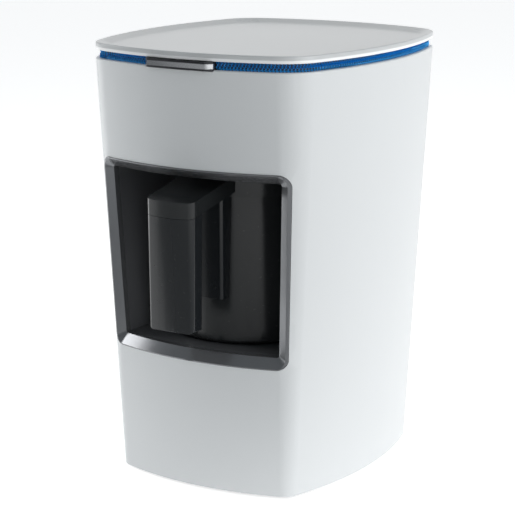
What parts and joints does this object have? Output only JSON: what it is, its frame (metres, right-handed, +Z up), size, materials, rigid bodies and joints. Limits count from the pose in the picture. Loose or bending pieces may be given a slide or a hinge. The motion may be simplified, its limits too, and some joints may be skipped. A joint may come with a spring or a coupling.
{
  "type": "electric turkish coffee maker",
  "caption": "Tall white casing with a round handled pot in a dark framed chamber, a hinged top lid over a water tank, a blue vent strip and a push bar.",
  "frame": {"origin": "on the table, under the middle of the whole, handle included", "axes": "+Z up, the open chamber and the pot's handle face -Y, +X to the right for someone who faces the front"},
  "size_m": [0.1808, 0.22, 0.2785],
  "materials": {
    "casing_white": "smooth white, soft gloss",
    "bezel_metal": "dark satin chrome",
    "chamber_black": "gloss black",
    "lid_grey": "smooth light grey",
    "band_blue": "blue perforated strip",
    "button_grey": "satin grey",
    "pot_black": "smooth black",
    "handle_black": "smooth black",
    "steel": "brushed",
    "heater_metal": "spun satin",
    "heater_casting": "cast",
    "switch_ceramic": "matt",
    "base_dark": "fine matt grain",
    "foot_rubber": "matt",
    "deck_white": "fine matt grain",
    "tank_clear": "clear smoke",
    "seat_grey": "matt",
    "seal_silicone": "satin silicone",
    "hose_silicone": "satin silicone",
    "pump_black": "matt",
    "board_green": "satin lacquer",
    "board_parts_dark": "matt",
    "screw_steel": "zinc plated",
    "gland_rubber": "matt"
  },
  "bodies": {
    "housing": {"outer_casing": "casing_white", "front_bezel": "bezel_metal", "chamber_liner": "chamber_black", "heater_plate": "heater_metal", "heater_element": "heater_casting", "thermostat": "switch_ceramic", "heat_shield": "steel", "base_cover": "base_dark", "rubber_feet": "foot_rubber", "base_screws": "screw_steel", "top_deck": "base_dark", "vent_band": "band_blue", "hinge_bracket": "deck_white", "hinge_pin": "screw_steel", "button_switch": "board_parts_dark", "water_tank": "tank_clear", "tank_valve": "seal_silicone", "tank_seat": "seat_grey", "water_pump": "pump_black", "pump_mounts": "foot_rubber", "water_hoses": "hose_silicone", "water_nozzle": "switch_ceramic", "boil_sensor": "board_parts_dark", "control_board": "board_green", "board_parts": "board_parts_dark", "board_screws": "screw_steel", "cord_gland": "gland_rubber"},
    "lid": {"lid_shell": "lid_grey", "lid_inner_panel": "deck_white", "lid_seal": "seal_silicone"},
    "button": {"start_button": "button_grey"},
    "pot": {"pot_shell": "pot_black", "pot_base_plate": "heater_metal", "pot_vessel": "steel", "pot_collar": "pot_black", "handle_grip": "handle_black", "handle_back_plate": "handle_black", "handle_screws": "screw_steel"}
  },
  "joints": [
    {"name": "lid_hinge", "type": "hinge", "parent": "housing", "child": "lid", "pos_m": [0, 0.10505, 0.2743], "axis": [-1, 0, 0], "range_deg": [0, 80]},
    {"name": "start_press", "type": "slide", "parent": "housing", "child": "button", "axis": [0, 1, 0], "range_m": [0, 0.0015], "stiffness_N_per_m": 600, "springref_m": -0.001},
    {"name": "pot_slide", "type": "slide", "parent": "housing", "child": "pot", "axis": [0, -1, 0], "range_m": [0, 0.15]}
  ]
}
